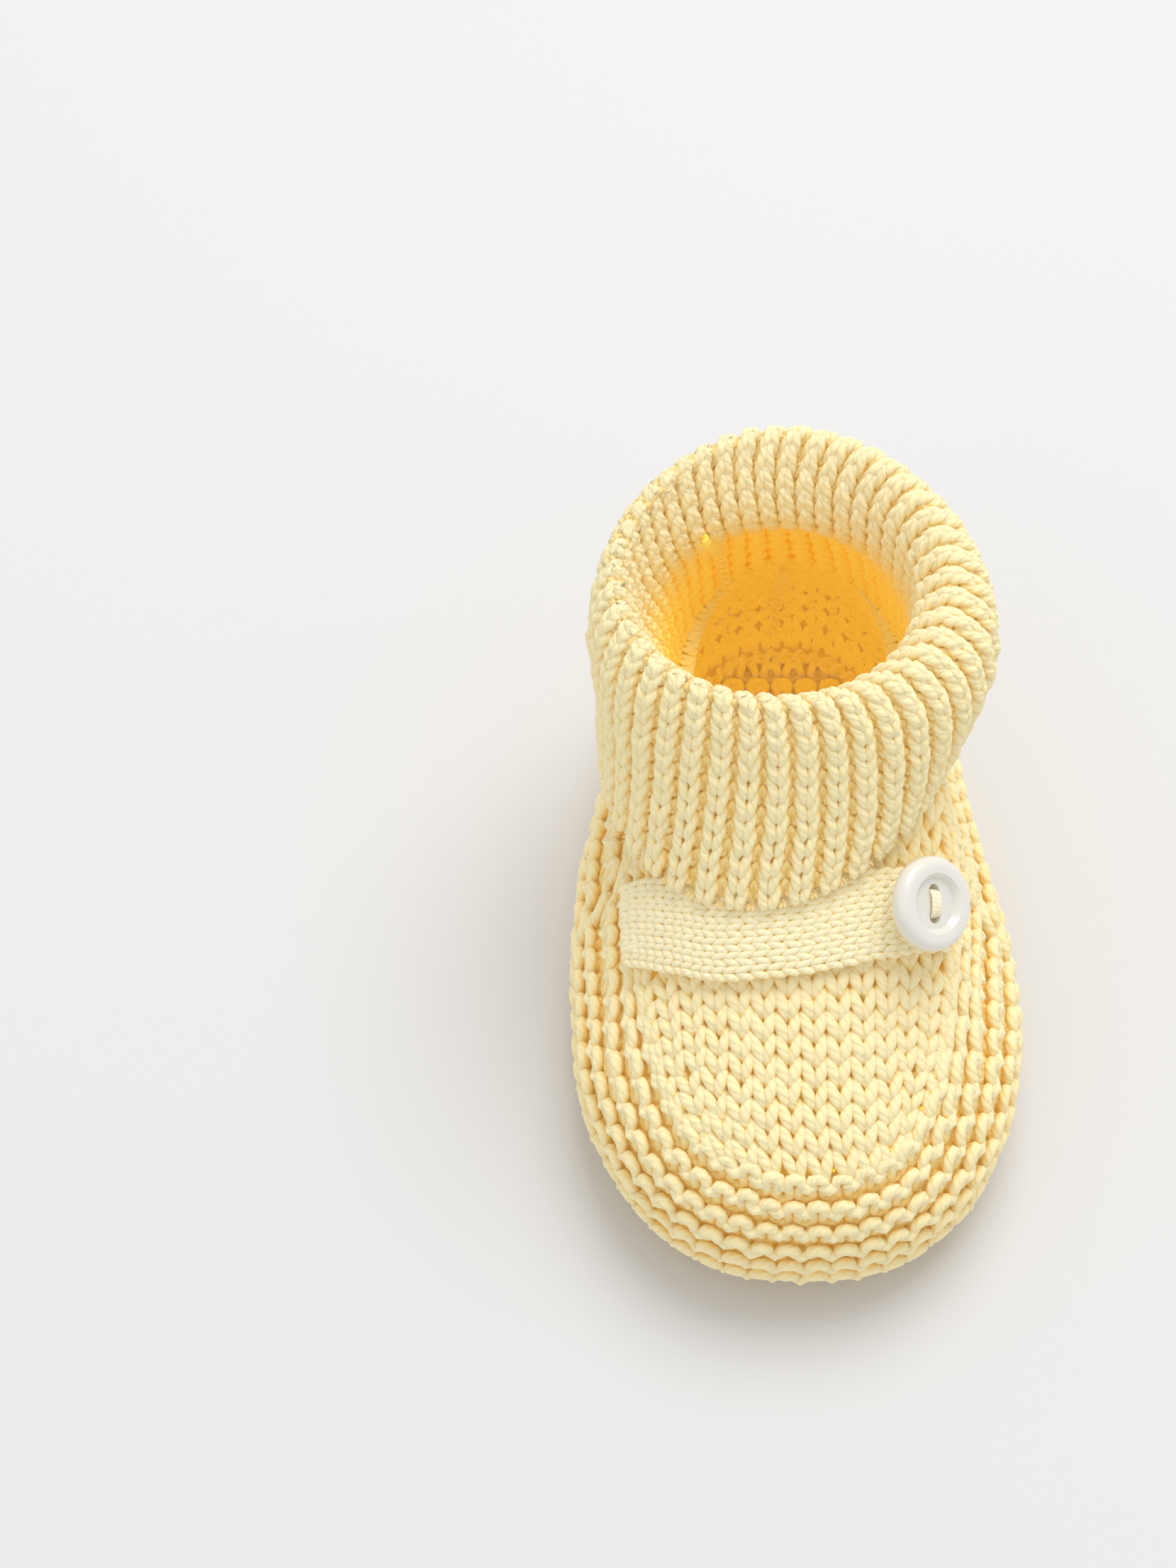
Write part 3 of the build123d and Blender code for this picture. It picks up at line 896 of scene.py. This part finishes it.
def vamp_seam_path():
    """Under the edge of the top panel, along one side and back along the other."""
    inner, outer = vamp_sides(VAMP_SEAM_Y)
    edge = np.concatenate([
        np.stack([inner + VAMP_SEAM_INSET, VAMP_SEAM_Y], -1),
        np.stack([outer - VAMP_SEAM_INSET, VAMP_SEAM_Y], -1)[::-1]])
    edge[:, 1] += 1.6 * np.clip((-edge[:, 1] - 30) / 12, 0, 1)
    height = foot_height(edge[:, 0], edge[:, 1]) - VAMP_SEAM_DROP
    return np.concatenate([edge, height[:, None]], 1)


leg_seam_path = [ring_points(ring, LEG_SEAM_TURN, -0.5) for ring in LEG_RINGS[6:]]
for name, path, wound, stitch, closed, node in (
        ("sole_seam_stitches", sole_seam_path(), SOLE_SEAM_WOUND, LONG_STITCH, True, "sole_seam"),
        ("heel_seam_stitches", HEEL_SEAM_PATH, SEAM_WOUND, SHORT_STITCH, False, "heel_seam"),
        ("leg_seam_stitches", leg_seam_path, SEAM_WOUND, SHORT_STITCH, False, "leg_seam"),
        ("vamp_seam_stitches", vamp_seam_path(), SEAM_WOUND, LONG_STITCH, False, "vamp_seam")):
    make(overcast(name, path, SEAM_RADIUS, wound, stitch, closed), seam_yarn, "root", "seam_yarn", node)


def strand(points, count=24):
    """A strand through a few points; its normals turn with it."""
    line, tangent, _ = follow(points, count)
    guess = np.array([[0.31, -0.52, 0.79]])
    side = np.cross(tangent, guess)
    side /= np.linalg.norm(side, axis=1)[:, None]
    return line, np.cross(side, tangent), np.full(count, -0.3), np.ones(count)


STITCH_CENTRE = np.array([-21.1, -11.4, 29.0])
STITCH_ACROSS = np.array([0.50, 0.0, 0.86])
STITCH_OUT = np.array([-0.86, -0.1, 0.5])
STITCH_ALONG = np.array([0.06, -0.99, -0.03])
STITCH_ARCH = ((-1.7, -0.6, -0.3), (-1.2, 0.3, -0.2), (0, 0.62, 0), (1.2, 0.3, 0.2), (1.7, -0.6, 0.3))
STITCH_SPACING = 2.1
STITCH_THREAD = 0.45
BUTTON_THREAD = 0.27
STALK_THREAD = 0.24
stitches = []
for k in range(5):
    centre = STITCH_CENTRE + STITCH_ALONG * (k - 2) * STITCH_SPACING
    stitches.append(strand([
        centre + STITCH_ACROSS * u + STITCH_OUT * w + STITCH_ALONG * v for u, w, v in STITCH_ARCH]))
make(tube_mesh("strap_base_stitching", stitches, STITCH_THREAD), strap_yarn, "root", "strap_yarn",
     "strap_base_stitches")

# ---------------------------------------------------------------- button thread
BUTTON_CENTRE = np.array([14.8, -15.5, 40.7])
BUTTON_NORMAL = np.array([0.60, -0.36, 0.71])
BUTTON_HOLE_LINE = np.array([-0.03, 0.885, 0.47])
BUTTON_NORMAL /= np.linalg.norm(BUTTON_NORMAL)
BUTTON_SIDE = np.cross(BUTTON_NORMAL, BUTTON_HOLE_LINE)
BUTTON_SIDE /= np.linalg.norm(BUTTON_SIDE)
BUTTON_HOLE_LINE = np.cross(BUTTON_SIDE, BUTTON_NORMAL)


def at_button(u, v, w):
    return BUTTON_CENTRE + BUTTON_HOLE_LINE * u + BUTTON_SIDE * v + BUTTON_NORMAL * w


# thread up through one hole and down through the other: along the hole line, level and spread
RISE = ((-1.55, -1.5, 0.5), (-1.5, 0.0, 0.7), (-1.2, 0.8, 1))
FALL = ((1.2, 0.8, 1), (1.5, 0.0, 0.7), (1.55, -1.5, 0.5))
wraps = []
for v, top in ((-0.42, 1.0), (-0.14, 1.25), (0.14, 1.3), (0.42, 1.05), (0.0, 1.0)):
    wraps.append(strand([at_button(u, v * s, w) for u, w, s in (*RISE, (0, top, 1.15), *FALL)], 36))
make(tube_mesh("button_thread_wraps", wraps, BUTTON_THREAD), thread_yarn, "button_disc", "button_thread",
     "button_thread")

SHANK_TOP, SHANK_MIDDLE, SHANK_BOTTOM = -1.95, -2.25, -2.55       # levels under the middle of the button
SHANK_RADIUS = 1.05
SHANK_TURNS = 5
helix = [
    at_button(cos(a) * SHANK_RADIUS, sin(a) * SHANK_RADIUS, w)
    for a, w in zip(np.linspace(0, SHANK_TURNS * TURN, 90), np.linspace(SHANK_TOP, SHANK_BOTTOM, 90))]
core = [at_button(0, 0, SHANK_TOP), at_button(0, 0.1, SHANK_MIDDLE), at_button(0, 0, SHANK_BOTTOM)]
shank = [strand(helix, 180), strand(core)]
make(tube_mesh("button_shank_wraps", shank, STALK_THREAD), thread_yarn, "button_stalk", "button_thread",
     "button_shank")

# stitches that cross under the stalk: share of their reach, and level
ANCHOR_CROSSING = ((1, -3.6), (0.8, -3.28), (0, -3.2), (-0.8, -3.28), (-1, -3.6))
ANCHOR_REACH = (1.75, 1.2)
anchor = []
for k in range(6):
    a = k * pi / 6 + 0.2
    u, v = ANCHOR_REACH[0] * cos(a), ANCHOR_REACH[1] * sin(a)
    anchor.append(strand([at_button(u * share, v * share, w) for share, w in ANCHOR_CROSSING]))
make(tube_mesh("button_anchor_wraps", anchor, STALK_THREAD), thread_yarn, "root", "button_thread",
     "button_anchor_stitches")

# ---------------------------------------------------------------- camera, light and floor
CAMERA_TILT = 60.0
CAMERA_DISTANCE = 0.52
SENSOR_WIDTH = 36.0
FOCAL_LENGTH = 118.5
TARGET = Vector((-0.0264, 0.0246, 0.0))
camera_data = bpy.data.cameras.new("camera")
camera_data.sensor_fit = "HORIZONTAL"
camera_data.sensor_width = SENSOR_WIDTH
camera_data.lens = FOCAL_LENGTH
camera = bpy.data.objects.new("camera", camera_data)
tilt = radians(CAMERA_TILT)
camera.location = TARGET + CAMERA_DISTANCE * Vector((0, -cos(tilt), sin(tilt)))
camera.rotation_euler = (pi / 2 - tilt, 0, 0)
bpy.context.scene.collection.objects.link(camera)
bpy.context.scene.camera = camera

FLOOR_HALF = 3
FLOOR_DROP = 0.0002         # so that the sole doesn't touch it
floor_mesh = bpy.data.meshes.new("floor")
corners = [(-FLOOR_HALF, -FLOOR_HALF, 0), (FLOOR_HALF, -FLOOR_HALF, 0), (FLOOR_HALF, FLOOR_HALF, 0),
           (-FLOOR_HALF, FLOOR_HALF, 0)]
floor_mesh.from_pydata(corners, [], [(0, 1, 2, 3)])
floor = bpy.data.objects.new("floor", floor_mesh)
floor.location.z = -FLOOR_DROP
bpy.context.scene.collection.objects.link(floor)
floor_mesh.materials.append(principled("floor", FLOOR_GREY, 0.9)[0])


LAMP_AIM = Vector((0, 0, 0.03))
LAMP_SIZE = 0.8


def area_light(name, place, power):
    data = bpy.data.lights.new(name, "AREA")
    data.shape = "DISK"
    data.size = LAMP_SIZE
    data.energy = power
    lamp = bpy.data.objects.new(name, data)
    lamp.location = place
    lamp.rotation_euler = (LAMP_AIM - Vector(place)).to_track_quat("-Z", "Y").to_euler()
    bpy.context.scene.collection.objects.link(lamp)


area_light("key", (0.2, 0.42, 1.0), 6.9)
area_light("fill", (-0.5, -0.6, 0.6), 0.5)
world = bpy.data.worlds.new("studio")
world.use_nodes = True
world.node_tree.nodes["Background"].inputs["Color"].default_value = (1, 1, 1, 1)
world.node_tree.nodes["Background"].inputs["Strength"].default_value = 0.7
bpy.context.scene.world = world
bpy.context.scene.view_settings.view_transform = "Standard"

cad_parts["button"].data.materials.clear()
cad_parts["button"].data.materials.append(button_plastic)
